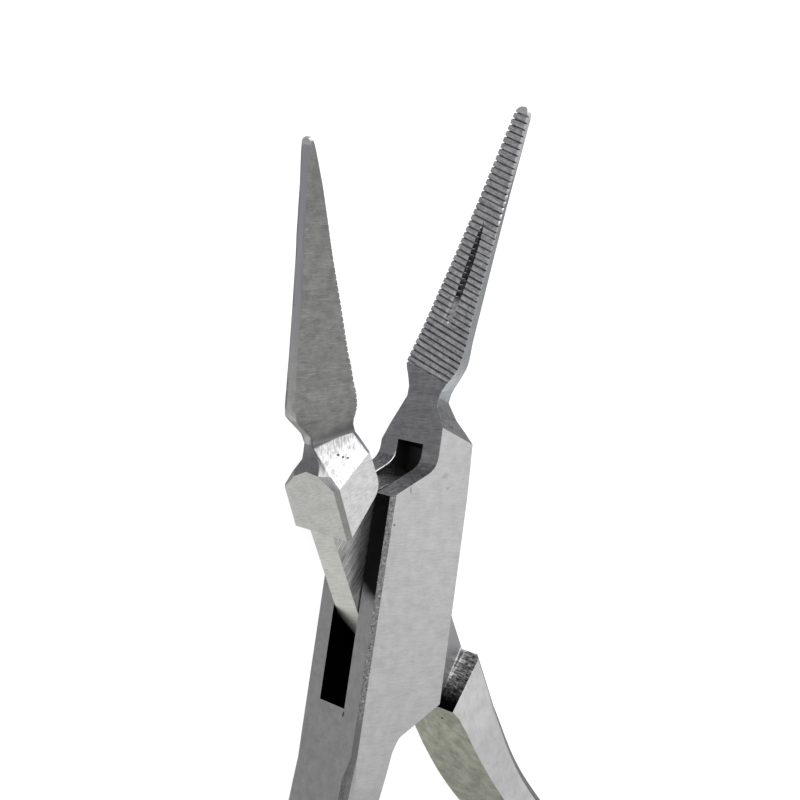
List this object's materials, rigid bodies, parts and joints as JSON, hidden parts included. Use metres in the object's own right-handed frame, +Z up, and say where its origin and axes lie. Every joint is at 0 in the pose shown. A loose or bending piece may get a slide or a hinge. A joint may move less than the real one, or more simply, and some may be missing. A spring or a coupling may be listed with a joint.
{
  "type": "root tip extraction forceps",
  "caption": "Slim dental pliers with a lapped box joint, long tapering serrated jaws bent out of plane and plain bowed handles, for gripping broken root tips.",
  "frame": {"origin": "on the pivot axis, at the flush end of the pivot pin in the resting plane under the back cheek", "axes": "+Z up, away from the resting plane, through the front cheek; +Y from the pivot to the jaw tips; +X across, the way the handle of the tongue half opens"},
  "size_m": [0.0857, 0.1446, 0.0125],
  "materials": {
    "box_steel": "satin ground",
    "tongue_steel": "satin ground",
    "pin_steel": "ground flush"
  },
  "bodies": {
    "box_body": {"box_half": "box_steel", "pivot_pin": "pin_steel"},
    "tongue_body": {"tongue_half": "tongue_steel"}
  },
  "joints": [
    {"name": "jaw_pivot", "type": "hinge", "parent": "box_body", "child": "tongue_body", "pos_m": [0, 0, 0], "axis": [0, 0, -1], "range_deg": [-8, 32]}
  ]
}
